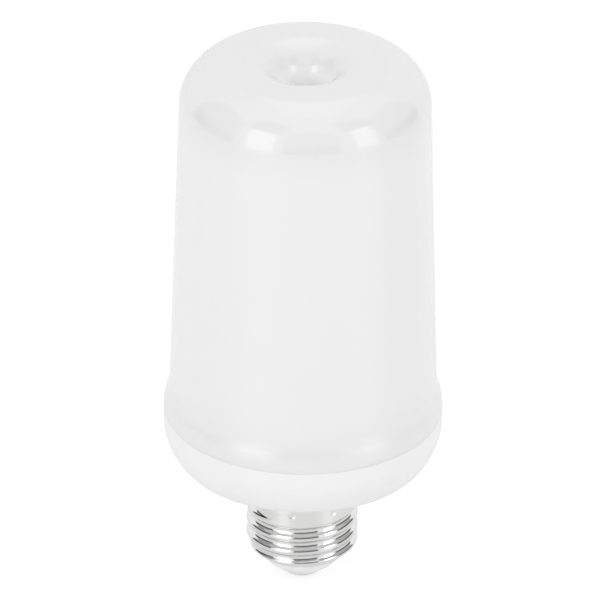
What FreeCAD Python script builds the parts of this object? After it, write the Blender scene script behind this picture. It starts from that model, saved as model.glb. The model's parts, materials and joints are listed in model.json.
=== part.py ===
import FreeCAD, Part
import math
import os

# A light bulb with a drum of light emitting diodes under a frosted cover, on a 27 mm screw cap.
# Millimetres. The bulb stands cap down: the origin is the middle of the contact's flat underside
# and +Z runs up the axis to the cover. -Y is the side that faces the viewer.

V = FreeCAD.Vector
AXIS = V(0, 0, 1)
CENTRE = V(0, 0, 0)
TOUCH = 1e-6
OVERCUT = 1.0

# Screw cap, rolled from thin sheet
cap_height = 27.0
thread_radius = 13.15
skirt_height = 6.3
sheet = 0.35
roll_in_height = 3.2
roll_in_depth = 2.55
roll_in_round = 3.0

# Punch marks that hold the cap on the housing's neck
stake_count = 8
stake_turn = -100.5
stake_below_edge = 5.2
stake_radius = 1.1
stake_depth = 0.5

# Insulator and centre contact
insulator_height = 6.6
insulator_top = 9.4
insulator_nose_radius = 3.9
insulator_nose_round = 1.2
contact_radius = 3.1
contact_proud = 0.3
contact_thickness = 0.9
contact_stem_radius = 1.3
contact_stem_top = 8.2

# Housing: the white bowl over the cap, with its neck. Its side turns in at the knee and leans
# in to the foot, and the housing's own wall follows it inside.
lip_radius = 32.7
neck_height = 5.3
neck_radius = 14.4
neck_fillet = 1.6
bowl_height = 12.7
knee_height = 4.5
knee_round = 13.0
foot_lean = 4.0
foot_round = 2.0
housing_wall = 1.7
spigot_length = 6.0
spigot_wall = 2.0
edge_round = 0.3

# Frosted cover
overall_height = 134.8
cover_wall = 1.5
wall_lean = 2.7
shoulder_round = 10.7
crown_drop = 0.4
flare_overhang = 1.35
flare_height = 6.1
flare_run = 3.7
flare_foot_round = 2.0
flare_round = 12.0
recess_radius = 5.0
recess_depth = 15.0
recess_entry = 9.0
recess_floor_round = 2.6

# Snap joint between cover and housing
joint_gap = 0.1
cover_spigot_depth = 4.7
cover_spigot_wall = 1.4
snap_height = 1.4
snap_bead = 0.25
snap_below_rim = 2.6

# Chassis plate, its screws and the drum it carries
plate_thickness = 2.0
plate_hole_radius = 9.0
boss_radius = 3.0
screw_count = 3
screw_turn = 30.0
screw_radius = 1.0
screw_head_radius = 1.9
screw_head_height = 1.5
screw_bite = 4.0
drum_margin = 8.1
tube_wall = 1.4
tube_collar_height = 4.0
tube_collar_wall = 1.5
drum_cap_thickness = 1.9
drum_cap_plug = 3.0
post_collar_height = 3.2
post_collar_wall = 1.5

# Flexible lamp board rolled round the tube, and its rows of diodes
flex_thickness = 0.4
flex_margin_low = 1.8
flex_margin_high = 1.0
flex_seam = 1.2
row_count = 11
column_count = 9
row_inset = 5.0
diode_width = 3.5
diode_height = 2.8
diode_thickness = 0.8
diode_window = 0.4
diode_window_depth = 0.12

# Round control board on posts inside the tube
post_height = 4.0
post_radius = 2.2
control_margin = 0.3
board_thickness = 1.2
control_chip_size = (10.0, 3.9, 1.5)
control_chip_legs = 7
tilt_sensor_offset = 9.0
tilt_sensor_radius = 2.4
tilt_sensor_height = 6.8
small_screw_radius = 0.8
small_screw_head_radius = 1.7
small_screw_head_height = 1.1
small_screw_bite = 2.6

# Driver board upright in the neck, and what is soldered to it
driver_offset = 2.4
driver_slot_depth = 0.6
driver_tail_inset = 1.7
driver_top_gap = 0.7
driver_foot_gap = 0.6
driver_ledge_rise = 1.0
capacitor_radius = 4.0
capacitor_length = 11.2
capacitor_groove = 0.35
capacitor_groove_at = 2.2
choke_radius = 3.1
choke_core_radius = 2.0
choke_length = 6.6
choke_flange = 0.9
winding_inset = 0.3
component_gap = 0.4
rectifier_size = (4.7, 4.0, 2.4)
rectifier_legs = 2
driver_chip_size = (4.9, 3.9, 1.5)
driver_chip_legs = 4
resistor_size = (2.0, 1.25, 0.55)
resistor_count = 5
resistor_pitch = 2.6
fuse_radius = 1.6
fuse_length = 6.6
fuse_leg_reach = 0.9
pin_radius = 0.3
chip_leg_width = 0.42
chip_leg_pitch = 1.27
chip_leg_reach = 1.0
chip_leg_thickness = 0.25

# Insulated leads
lead_radius = 0.6
bare_lead_radius = 0.45
neutral_bend = 2.5
neutral_rise = 4.0
supply_x = 6.0
supply_reach = 5.0
supply_bend = 2.5
drum_lead_x = 1.5
drum_lead_start = 8.5
drum_lead_bend = 2.0
lead_rise = 4.0
lead_notch = 2.6

# Clearances
slip = 0.1
seat_gap = 0.2
hole_clearance = 0.15

# Levels and radii that follow
shell_top = cap_height
shell_bottom = insulator_height
thread_top = shell_top - skirt_height
shell_inner = thread_radius - sheet
spigot_radius = shell_inner - slip
neck_bore = spigot_radius - spigot_wall
spigot_bottom = shell_top - spigot_length
floor_z = shell_top + neck_height
floor_inner = floor_z + housing_wall
rim_z = floor_z + bowl_height
rim_inner = lip_radius - housing_wall
cover_foot = rim_z + joint_gap
cover_spigot_radius = rim_inner - slip
cover_spigot_inner = cover_spigot_radius - cover_spigot_wall
cover_spigot_foot = cover_foot - cover_spigot_depth
side_turn = math.atan2(foot_lean, knee_height)
foot_turn = math.pi / 2 - side_turn
inner_knee_z = floor_z + knee_height + housing_wall * math.tan(side_turn / 2)
inner_knee_round = (cover_spigot_foot - inner_knee_z) / math.tan(side_turn / 2)
inner_foot_radius = lip_radius - foot_lean - housing_wall * math.tan(foot_turn / 2)
flare_z = cover_foot + flare_height
wall_foot_radius = lip_radius - flare_overhang
shoulder_radius = wall_foot_radius - wall_lean
recess_floor = overall_height - recess_depth
post_foot = recess_floor - cover_wall
post_outer = recess_radius + cover_wall
plate_top = cover_spigot_foot - seat_gap
plate_bottom = plate_top - plate_thickness
drum_cap_top = post_foot - seat_gap
tube_radius = cover_spigot_inner - drum_margin
tube_top = drum_cap_top - drum_cap_thickness
tube_collar_radius = tube_radius - tube_wall - slip
tube_collar_inner = tube_collar_radius - tube_collar_wall
boss_ring = (tube_radius + cover_spigot_inner) / 2
post_ring = (plate_hole_radius + tube_collar_inner) / 2
control_radius = tube_collar_inner - control_margin
flex_inner = tube_radius + slip / 2
flex_outer = flex_inner + flex_thickness
flex_bottom = plate_top + flex_margin_low
flex_top = tube_top - flex_margin_high
control_bottom = plate_top + post_height
control_top = control_bottom + board_thickness
driver_front = driver_offset
driver_back = driver_front + board_thickness
driver_top = plate_bottom - driver_top_gap
driver_foot = insulator_top + driver_foot_gap
driver_ledge = spigot_bottom + driver_ledge_rise
choke_z = driver_top - choke_radius
capacitor_z = choke_z - choke_radius - capacitor_radius - component_gap
fuse_z = capacitor_z - capacitor_radius - fuse_radius - component_gap
live_z = fuse_z - fuse_radius - lead_radius - component_gap
neutral_y = shell_inner - seat_gap - bare_lead_radius
neutral_z = spigot_bottom - neutral_bend - bare_lead_radius
neutral_top = spigot_bottom + neutral_rise
supply_z = choke_z
rectifier_z = capacitor_z
driver_chip_z = choke_z
resistor_z = neutral_z - bare_lead_radius - component_gap - resistor_size[0] / 2


def place(radius, z):
    return V(radius, 0, z)


def rounded(points):
    """Edges through points (radius, height, corner rounding), as lines and tangent arcs."""
    edges = []
    start = place(points[0][0], points[0][1])
    for before, here, after in zip(points, points[1:], points[2:]):
        corner = place(here[0], here[1])
        if here[2] == 0:
            edges.append(Part.LineSegment(start, corner).toShape())
            start = corner
            continue
        back = (place(before[0], before[1]) - corner).normalize()
        ahead = (place(after[0], after[1]) - corner).normalize()
        half = back.getAngle(ahead) / 2
        reach = here[2] / math.tan(half)
        inward = (back + ahead).normalize()
        middle = corner + inward * (here[2] / math.sin(half) - here[2])
        end = corner + back * reach
        if (end - start).Length > TOUCH:
            edges.append(Part.LineSegment(start, end).toShape())
        start = corner + ahead * reach
        edges.append(Part.Arc(end, middle, start).toShape())
    last = place(points[-1][0], points[-1][1])
    if (last - start).Length > TOUCH:
        edges.append(Part.LineSegment(start, last).toShape())
    return edges


def turned(points):
    """The solid of revolution of the closed outline through the points."""
    outline = rounded(points + [points[0]])
    return Part.Face(Part.Wire(outline)).revolve(CENTRE, AXIS, 360)


def ring(inner, outer, low, high):
    """A tube about the axis."""
    tube = Part.makeCylinder(outer, high - low, V(0, 0, low))
    return tube.cut(Part.makeCylinder(inner, high - low + 2 * OVERCUT, V(0, 0, low - OVERCUT)))


def rod(radius, start, end):
    return Part.makeCylinder(radius, (end - start).Length, start, end - start)


def block(low, high):
    return Part.makeBox(high.x - low.x, high.y - low.y, high.z - low.z, low)


def around(shape, count, first=0.0):
    """Copies of a shape spaced evenly round the axis."""
    copies = []
    for index in range(count):
        copy = shape.copy()
        copy.rotate(CENTRE, AXIS, first + index * 360.0 / count)
        copies.append(copy)
    return copies


def joined(shapes):
    return shapes[0].multiFuse(shapes[1:]).removeSplitter()


def bent_wire(radius, route, bend):
    """A round lead along straight runs joined by tangent arcs of one radius."""
    edges = []
    start = route[0]
    for before, corner, after in zip(route, route[1:], route[2:]):
        back = (before - corner).normalize()
        ahead = (after - corner).normalize()
        half = back.getAngle(ahead) / 2
        reach = bend / math.tan(half)
        inward = (back + ahead).normalize()
        middle = corner + inward * (bend / math.sin(half) - bend)
        end = corner + back * reach
        edges.append(Part.LineSegment(start, end).toShape())
        start = corner + ahead * reach
        edges.append(Part.Arc(end, middle, start).toShape())
    edges.append(Part.LineSegment(start, route[-1]).toShape())
    section = Part.Wire(Part.makeCircle(radius, route[0], route[1] - route[0]))
    return Part.Wire(edges).makePipeShell([section], True, False)


# Screw cap

def stake_balls(radius):
    """Balls centred over the punch marks round the cap's skirt."""
    height = shell_top - stake_below_edge
    middle = V(thread_radius + stake_radius - stake_depth, 0, height)
    return around(Part.makeSphere(radius, middle), stake_count, stake_turn)


def shell_outline(inset):
    """The sheet's outer or inner line, from its foot up to its top edge."""
    bend = roll_in_height
    foot = thread_radius - roll_in_depth - inset
    side = thread_radius - inset
    return [
        (foot, shell_bottom, 0),
        (side, shell_bottom + bend, roll_in_round - inset),
        (side, shell_top, 0),
    ]


def screw_shell():
    shell = turned(shell_outline(0) + shell_outline(sheet)[::-1])
    core = Part.makeCylinder(thread_radius - sheet / 2, skirt_height, V(0, 0, thread_top))
    bulges = [ball.common(core) for ball in stake_balls(stake_radius + sheet)]
    shell = shell.multiFuse(bulges)
    return shell.cut(Part.makeCompound(stake_balls(stake_radius)))


def cap_insulator():
    ledge = thread_radius - roll_in_depth
    plug = ledge - sheet - slip
    bore = contact_stem_radius + slip
    pocket = contact_radius + slip
    return turned([
        (bore, contact_thickness, 0),
        (pocket, contact_thickness, 0),
        (pocket, contact_proud, 0),
        (insulator_nose_radius, contact_proud, insulator_nose_round),
        (ledge, insulator_height, 0),
        (plug, insulator_height, 0),
        (plug, insulator_top, 0),
        (bore, insulator_top, 0),
    ])


def centre_contact():
    return turned([
        (0, 0, 0),
        (contact_radius, 0, edge_round),
        (contact_radius, contact_thickness, 0),
        (contact_stem_radius, contact_thickness, 0),
        (contact_stem_radius, contact_stem_top, 0),
        (0, contact_stem_top, 0),
    ])


# Housing and cover

def bowl_side():
    """The bowl's outer line, from its foot up to its knee."""
    return [
        (lip_radius - foot_lean, floor_z, foot_round),
        (lip_radius, floor_z + knee_height, knee_round),
    ]


def bowl_inner_radius(z):
    """Inner radius of the bowl where its wall curves in under the cover's skirt."""
    drop = cover_spigot_foot - z
    return rim_inner - inner_knee_round + math.sqrt(inner_knee_round ** 2 - drop ** 2)


def snap_line(radius, reach, z):
    """A V-shaped bead or groove in a wall, from its upper edge to its lower edge."""
    return [
        (radius, z + snap_height / 2, 0),
        (radius + reach, z, 0),
        (radius, z - snap_height / 2, 0),
    ]


def base_housing():
    body = turned([
        (neck_bore, spigot_bottom, 0),
        (spigot_radius, spigot_bottom, 0),
        (spigot_radius, shell_top, 0),
        (neck_radius, shell_top, 0),
        (neck_radius, floor_z, neck_fillet),
        *bowl_side(),
        (lip_radius, rim_z, 0),
        (rim_inner, rim_z, 0),
        *snap_line(rim_inner, snap_bead + slip, rim_z - snap_below_rim),
        (rim_inner, inner_knee_z, inner_knee_round),
        (inner_foot_radius, floor_inner, foot_round),
        (neck_bore, floor_inner, neck_fillet),
    ])
    boss = Part.makeCylinder(boss_radius, plate_bottom - floor_z, V(boss_ring, 0, floor_z))
    solid_bowl = turned([(0, floor_z, 0), *bowl_side(), (lip_radius, rim_z, 0), (0, rim_z, 0)])
    bosses = [post.common(solid_bowl) for post in around(boss, screw_count, screw_turn)]
    body = joined([body] + bosses)
    pilot = Part.makeCylinder(
        screw_radius + slip / 2,
        screw_bite + slip,
        V(boss_ring, 0, plate_bottom - screw_bite - slip),
    )
    pockets = stake_balls(stake_radius + sheet + slip)
    slots = [driver_slot(side) for side in (-1, 1)]
    cuts = around(pilot, screw_count, screw_turn) + pockets + slots + [neutral_groove()]
    return body.cut(Part.makeCompound(cuts))


def driver_slot(side):
    """Slot in the neck's bore for one edge of the driver board, with a ledge under it."""
    reach = driver_half_width() + slip
    near = V(min(0, side * reach), driver_front - slip, driver_ledge)
    far = V(max(0, side * reach), driver_back + slip, floor_inner + OVERCUT)
    return block(near, far)


def driver_half_width():
    return neck_bore + driver_slot_depth


def neutral_groove():
    """Groove down the spigot for the bared lead that the cap's skirt traps."""
    reach = bare_lead_radius + slip
    low = V(-reach, neutral_y - reach, spigot_bottom - OVERCUT)
    high = V(reach, spigot_radius + OVERCUT, neutral_top + slip)
    return block(low, high)


def diffuser_cover():
    crown_slope = crown_drop / (shoulder_radius - recess_radius)
    crown_high = overall_height + crown_slope * recess_entry
    crown_low = crown_high - crown_drop
    bead = snap_line(cover_spigot_radius, snap_bead, rim_z - snap_below_rim)
    return turned([
        (0, recess_floor, 0),
        (recess_radius, recess_floor, recess_floor_round),
        (recess_radius, crown_high, recess_entry),
        (shoulder_radius, crown_low, shoulder_round),
        (wall_foot_radius, flare_z, flare_foot_round),
        (lip_radius, flare_z - flare_run, flare_round),
        (lip_radius, cover_foot, 0),
        (cover_spigot_radius, cover_foot, 0),
        *bead,
        (cover_spigot_radius, cover_spigot_foot, 0),
        (cover_spigot_inner, cover_spigot_foot, 0),
        (cover_spigot_inner, cover_foot + cover_wall, 0),
        (lip_radius - cover_wall, cover_foot + 2 * cover_wall, 0),
        (wall_foot_radius - cover_wall, flare_z, 0),
        (shoulder_radius - cover_wall, crown_low - cover_wall, shoulder_round - cover_wall),
        (post_outer, crown_high - cover_wall, recess_entry - cover_wall),
        (post_outer, post_foot, recess_floor_round),
        (0, post_foot, 0),
    ])


# Chassis plate and drum

def chassis_plate():
    plate = ring(plate_hole_radius, bowl_gap_radius(), plate_bottom, plate_top)
    collar = ring(tube_collar_inner, tube_collar_radius, plate_top, plate_top + tube_collar_height)
    post = Part.makeCylinder(post_radius, post_height, V(post_ring, 0, plate_top))
    body = joined([plate, collar] + around(post, screw_count, screw_turn))
    hole = Part.makeCylinder(screw_radius + hole_clearance, plate_thickness, V(boss_ring, 0, plate_bottom))
    pilot = Part.makeCylinder(
        small_screw_radius + slip / 2,
        small_screw_bite + slip,
        V(post_ring, 0, control_bottom - small_screw_bite - slip),
    )
    cuts = around(hole, screw_count, screw_turn) + around(pilot, screw_count, screw_turn)
    return body.cut(Part.makeCompound(cuts))


def pan_screws(radius, head_radius, head_height, bite, ring_radius, seat, through):
    """Pan-head screws on a ring, each with its head on the seat."""
    foot = seat - through - bite
    screw = turned([
        (0, foot, 0),
        (radius, foot + radius, 0),
        (radius, seat, 0),
        (head_radius, seat, 0),
        (head_radius, seat + head_height, head_height / 2),
        (0, seat + head_height, 0),
    ])
    screw.translate(V(ring_radius, 0, 0))
    return Part.makeCompound(around(screw, screw_count, screw_turn))


def chassis_screws():
    return pan_screws(
        screw_radius, screw_head_radius, screw_head_height, screw_bite,
        boss_ring, plate_top, plate_thickness,
    )


def drum_tube():
    tube = ring(tube_radius - tube_wall, tube_radius, plate_top, tube_top)
    low = control_top + lead_rise - lead_notch / 2
    notch = block(
        V(-lead_notch, -tube_radius - OVERCUT, low),
        V(lead_notch, OVERCUT - tube_radius + tube_wall, low + lead_notch),
    )
    return tube.cut(notch)


def drum_cap():
    plug = tube_radius - tube_wall - slip
    socket = post_outer + seat_gap
    top = drum_cap_top
    return turned([
        (0, tube_top, 0),
        (plug - tube_wall, tube_top, 0),
        (plug - tube_wall, tube_top - drum_cap_plug, 0),
        (plug, tube_top - drum_cap_plug, 0),
        (plug, tube_top, 0),
        (tube_radius, tube_top, 0),
        (tube_radius, top, 0),
        (socket + post_collar_wall, top, 0),
        (socket + post_collar_wall, top + post_collar_height, 0),
        (socket, top + post_collar_height, 0),
        (socket, top, 0),
        (0, top, 0),
    ])


def led_board():
    board = ring(flex_inner, flex_outer, flex_bottom, flex_top)
    seam = block(
        V(-flex_seam / 2, flex_inner - OVERCUT, flex_bottom - OVERCUT),
        V(flex_seam / 2, flex_outer + OVERCUT, flex_top + OVERCUT),
    )
    return board.cut(seam)


def led_row(index):
    """One ring of diodes on the rolled board, every other row turned by half a step."""
    spacing = (flex_top - flex_bottom - 2 * row_inset) / (row_count - 1)
    z = flex_bottom + row_inset + index * spacing
    low = V(-diode_width / 2, -flex_outer - diode_thickness, z - diode_height / 2)
    high = V(diode_width / 2, -flex_outer, z + diode_height / 2)
    diode = block(low, high)
    inset = V(diode_window, 0, diode_window)
    back = V(0, diode_thickness - diode_window_depth, 0)
    window = block(low + inset - V(0, OVERCUT, 0), high - inset - back)
    diode = diode.cut(window)
    step = 360.0 / column_count
    return Part.makeCompound(around(diode, column_count, step / 2 * (index % 2)))


# Boards and what is soldered to them

def flat_chip(size, legs, face, outward, upright):
    """A moulded chip on a board face, with a row of legs along each of its long sides."""
    length, width, height = size
    across = outward.cross(upright)

    def slab(middle, along, wide, low, high):
        half_along = upright * (along / 2)
        half_wide = across * (wide / 2)
        corners = [
            middle - half_along - half_wide,
            middle + half_along - half_wide,
            middle + half_along + half_wide,
            middle - half_along + half_wide,
        ]
        base = [corner + outward * low for corner in corners]
        wire = Part.makePolygon(base + base[:1])
        return Part.Face(wire).extrude(outward * (high - low))

    body = slab(face, length, width, 0, height)
    parts = [body]
    for index in range(legs):
        offset = (index - (legs - 1) / 2) * chip_leg_pitch
        middle = face + upright * offset
        reach = width + 2 * chip_leg_reach
        parts.append(slab(middle, chip_leg_width, reach, 0, chip_leg_thickness))
    return joined(parts)


def control_board():
    board = Part.makeCylinder(control_radius, board_thickness, V(0, 0, control_bottom))
    hole = Part.makeCylinder(
        small_screw_radius + hole_clearance,
        board_thickness,
        V(post_ring, 0, control_bottom),
    )
    return board.cut(Part.makeCompound(around(hole, screw_count, screw_turn)))


def control_screws():
    return pan_screws(
        small_screw_radius, small_screw_head_radius, small_screw_head_height, small_screw_bite,
        post_ring, control_top, board_thickness,
    )


def control_chip():
    face = V(0, 0, control_top)
    return flat_chip(control_chip_size, control_chip_legs, face, V(0, 0, 1), V(1, 0, 0))


def tilt_sensor():
    can = Part.makeCylinder(tilt_sensor_radius, tilt_sensor_height, V(-tilt_sensor_offset, 0, control_top))
    return can.makeFillet(edge_round, [can.Edges[0]])


def driver_board():
    half = driver_half_width()
    tail = half - driver_tail_inset
    outline = [
        V(-tail, driver_front, driver_foot),
        V(tail, driver_front, driver_foot),
        V(tail, driver_front, driver_ledge),
        V(half, driver_front, driver_ledge),
        V(half, driver_front, driver_top),
        V(-half, driver_front, driver_top),
        V(-half, driver_front, driver_ledge),
        V(-tail, driver_front, driver_ledge),
    ]
    face = Part.Face(Part.makePolygon(outline + outline[:1]))
    return face.extrude(V(0, board_thickness, 0))


def input_capacitor():
    """Can standing on the board's front face, with the rolled groove near its seal."""
    can = turned([
        (0, 0, 0),
        (capacitor_radius, 0, edge_round),
        (capacitor_radius, capacitor_groove_at - capacitor_groove, 0),
        (capacitor_radius - capacitor_groove, capacitor_groove_at, 0),
        (capacitor_radius, capacitor_groove_at + capacitor_groove, 0),
        (capacitor_radius, capacitor_length, edge_round),
        (0, capacitor_length, 0),
    ])
    can.rotate(CENTRE, V(1, 0, 0), 90)
    can.translate(V(0, driver_front, capacitor_z))
    return can


def choke():
    """Bobbin core with its winding, standing on the board's front face."""
    core = turned([
        (0, 0, 0),
        (choke_radius, 0, 0),
        (choke_radius, choke_flange, 0),
        (choke_core_radius, choke_flange, 0),
        (choke_core_radius, choke_length - choke_flange, 0),
        (choke_radius, choke_length - choke_flange, 0),
        (choke_radius, choke_length, 0),
        (0, choke_length, 0),
    ])
    core.rotate(CENTRE, V(1, 0, 0), 90)
    core.translate(V(0, driver_front, choke_z))
    return core


def choke_winding():
    outer = choke_radius - winding_inset
    winding = ring(choke_core_radius, outer, choke_flange, choke_length - choke_flange)
    winding.rotate(CENTRE, V(1, 0, 0), 90)
    winding.translate(V(0, driver_front, choke_z))
    return winding


def bridge_rectifier():
    face = V(0, driver_back, rectifier_z)
    return flat_chip(rectifier_size, rectifier_legs, face, V(0, 1, 0), V(1, 0, 0))


def driver_chip():
    face = V(0, driver_back, driver_chip_z)
    return flat_chip(driver_chip_size, driver_chip_legs, face, V(0, 1, 0), V(1, 0, 0))


def fuse_resistor():
    """Fusible resistor lying across the board's tail on its two bent legs."""
    middle = V(0, driver_front - fuse_radius - pin_radius, fuse_z)
    half = fuse_length / 2
    body = rod(fuse_radius, middle - V(half, 0, 0), middle + V(half, 0, 0))
    legs = []
    for side in (-1, 1):
        bend = middle + V(side * (half + fuse_leg_reach), 0, 0)
        legs.append(rod(pin_radius, middle, bend))
        legs.append(Part.makeSphere(pin_radius, bend))
        legs.append(rod(pin_radius, bend, V(bend.x, driver_front, bend.z)))
    return joined([body] + legs)


def chip_resistors():
    """Small resistors in a row on the board's back face."""
    length, width, height = resistor_size
    pieces = []
    for index in range(resistor_count):
        x = (index - (resistor_count - 1) / 2) * resistor_pitch
        low = V(x - width / 2, driver_back, resistor_z - length / 2)
        pieces.append(block(low, low + V(width, height, length)))
    return Part.makeCompound(pieces)


# Leads

def live_lead():
    """From the board's tail down the insulator's bore to the contact's stem."""
    start = V(0, driver_front, live_z)
    corner = V(0, 0, live_z)
    return bent_wire(lead_radius, [start, corner, V(0, 0, contact_stem_top)], driver_front - pin_radius)


def neutral_lead():
    """From the board's back, up between the neck and the cap's skirt."""
    start = V(0, driver_back, neutral_z)
    corner = V(0, neutral_y, neutral_z)
    return bent_wire(bare_lead_radius, [start, corner, V(0, neutral_y, neutral_top)], neutral_bend)


def supply_lead(side):
    """From the driver board up through the plate's hole to the control board."""
    x = side * supply_x
    start = V(x, driver_front, supply_z)
    corner = V(x, driver_front - supply_reach, supply_z)
    end = V(x, driver_front - supply_reach, control_bottom)
    return bent_wire(lead_radius, [start, corner, end], supply_bend)


def drum_leads():
    """From the control board, out through the tube's notch to the rolled board."""
    leads = []
    for side in (-1, 1):
        x = side * drum_lead_x
        start = V(x, -drum_lead_start, control_top)
        corner = V(x, -drum_lead_start, control_top + lead_rise)
        reach = math.sqrt(flex_inner ** 2 - (drum_lead_x + bare_lead_radius) ** 2)
        leads.append(bent_wire(bare_lead_radius, [start, corner, V(x, -reach, corner.z)], drum_lead_bend))
    return Part.makeCompound(leads)


def positive_lead():
    return supply_lead(1)


def negative_lead():
    return supply_lead(-1)


def bowl_gap_radius():
    return bowl_inner_radius(plate_bottom) - slip - seat_gap


def pieces():
    named = {
        maker.__name__: maker
        for maker in (
            diffuser_cover, base_housing, screw_shell, cap_insulator, centre_contact,
            chassis_plate, chassis_screws, drum_tube, drum_cap, led_board,
            control_board, control_screws, control_chip, tilt_sensor,
            driver_board, input_capacitor, choke, choke_winding, bridge_rectifier,
            driver_chip, fuse_resistor, chip_resistors,
            live_lead, neutral_lead, positive_lead, negative_lead, drum_leads,
        )
    }
    shapes = {name: maker() for name, maker in named.items()}
    for index in range(row_count):
        shapes["led_row_%02d" % (index + 1)] = led_row(index)
    return shapes


os.makedirs("parts", exist_ok=True)
for name, shape in pieces().items():
    if not shape.isValid():
        raise ValueError("%s is not a valid solid" % name)
    shape.exportStep("parts/%s.step" % name)
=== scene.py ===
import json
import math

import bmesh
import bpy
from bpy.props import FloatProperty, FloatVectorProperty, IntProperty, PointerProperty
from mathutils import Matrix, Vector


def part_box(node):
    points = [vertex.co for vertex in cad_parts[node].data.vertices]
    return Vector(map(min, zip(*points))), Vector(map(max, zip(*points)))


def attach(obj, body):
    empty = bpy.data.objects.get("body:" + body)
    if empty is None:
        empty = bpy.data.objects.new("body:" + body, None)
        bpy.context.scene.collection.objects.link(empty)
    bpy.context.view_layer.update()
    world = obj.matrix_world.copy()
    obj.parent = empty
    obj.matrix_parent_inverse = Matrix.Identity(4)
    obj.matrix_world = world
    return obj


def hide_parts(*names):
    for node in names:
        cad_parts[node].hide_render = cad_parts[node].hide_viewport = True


bl_info = {
    "name": "Drum Light Bulb",
    "version": (1, 0, 0),
    "blender": (4, 5, 0),
    "location": "View3D > Sidebar > Bulb",
    "description": "Frosted light bulb with a drum of diodes on a rolled screw cap",
    "category": "Object",
}

# Metres. The bulb stands cap down with its axis on Z, and -Y is the viewer's side.

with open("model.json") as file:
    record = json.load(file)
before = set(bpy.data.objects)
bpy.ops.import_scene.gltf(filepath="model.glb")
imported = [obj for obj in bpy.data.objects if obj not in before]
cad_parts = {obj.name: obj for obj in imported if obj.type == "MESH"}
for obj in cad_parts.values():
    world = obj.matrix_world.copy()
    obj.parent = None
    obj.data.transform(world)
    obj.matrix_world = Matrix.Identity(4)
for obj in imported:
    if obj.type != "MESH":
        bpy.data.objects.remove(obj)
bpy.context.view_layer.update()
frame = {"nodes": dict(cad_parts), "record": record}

FULL_TURN = 2 * math.pi
AXIS = Vector((0, 0, 1))
CENTRE = Vector((0, 0, 0))

# Vertices nearer than WELD become one, a rounding turns by ROUND_STEP from face to face, and
# an edge with a larger angle than SHARP_ANGLE is shaded sharp.
WELD = 1e-7
ROUND_STEP = math.radians(2.4)
SHARP_ANGLE = math.radians(35)

# Open line that shows between the cover and the housing
JOINT_GAP = 0.00001


def length(name, default, description):
    return FloatProperty(name=name, description=description, default=default, unit="LENGTH", precision=5)


def angle(name, degrees, description):
    return FloatProperty(
        name=name, description=description, default=math.radians(degrees), unit="ROTATION",
    )


def colour(name, default, description):
    return FloatVectorProperty(
        name=name, description=description, default=default, subtype="COLOR", size=4, min=0, max=1,
    )


def grey(value):
    return (value, value, value, 1.0)


class BulbCoverSizes(bpy.types.PropertyGroup):
    """Sizes of the frosted cover"""

    top: length("Top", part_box("diffuser_cover")[1].z, "Height of the crowned top's rim")
    foot: length("Foot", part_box("base_housing")[1].z + JOINT_GAP, "Height of the joint line")
    wall: length("Wall", 0.0015, "Thickness of the cover")
    lip_radius: length("Lip radius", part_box("diffuser_cover")[1].x, "Radius at the joint line")
    wall_foot_radius: length("Wall foot radius", 0.03135, "Radius where the wall meets the flare")
    flare_height: length("Flare height", 0.0061, "Height of the flare's top over the joint line")
    flare_run: length("Flare run", 0.0037, "Height over which the flare widens")
    flare_foot_round: length("Flare foot rounding", 0.010, "Rounding between wall and flare")
    flare_round: length("Flare rounding", 0.012, "Rounding between flare and joint line")
    shoulder_radius: length("Shoulder radius", 0.02865, "Wall radius, carried on up to the crown")
    shoulder_round: length("Shoulder rounding", 0.0107, "Rounding between wall and crown")
    crown_drop: length("Crown drop", 0.0004, "Fall of the crown from its dimple to its shoulder")
    recess_radius: length("Dimple radius", 0.005, "Radius of the dimple's wall")
    recess_depth: length("Dimple depth", 0.015, "Depth of the dimple under the crown")
    recess_entry: length("Dimple entry", 0.009, "Rounding between crown and dimple")
    recess_floor_round: length("Dimple floor rounding", 0.0026, "Rounding at the dimple's floor")
    spigot_foot: length("Spigot foot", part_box("diffuser_cover")[0].z, "Height of the skirt's lower end")
    spigot_radius: length("Spigot radius", 0.0309, "Radius of the snap skirt inside the housing")
    spigot_wall: length("Spigot wall", 0.0014, "Thickness of the snap skirt")
    edge_round: length("Edge rounding", 0.00006, "Rounding of the foot's edge")


class BulbHousingSizes(bpy.types.PropertyGroup):
    """Sizes of the white bowl over the cap"""

    rim: length("Rim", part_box("base_housing")[1].z, "Height of the bowl's rim")
    neck_height: length("Neck height", 0.0053, "Height of the neck between cap and bowl")
    neck_radius: length("Neck radius", 0.0144, "Radius of the neck over the cap's edge")
    neck_fillet: length("Neck fillet", 0.0016, "Fillet between neck and bowl")
    wall: length("Wall", 0.0017, "Thickness of the bowl")
    knee_height: length("Knee height", 0.0045, "Height over the floor at which the side turns in")
    knee_round: length("Knee rounding", 0.013, "Large rounding of the bowl's side")
    foot_lean: length("Foot lean", 0.004, "How far the bowl's foot corner stands inside its lip")
    foot_round: length("Foot rounding", 0.002, "Rounding of the bowl's foot")
    spigot_length: length("Spigot length", 0.006, "Depth of the spigot in the cap")
    spigot_wall: length("Spigot wall", 0.002, "Thickness of the spigot")
    slip: length("Slip", 0.0001, "Clearance between spigot and cap")
    edge_round: length("Edge rounding", 0.00006, "Rounding of the rim")


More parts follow.
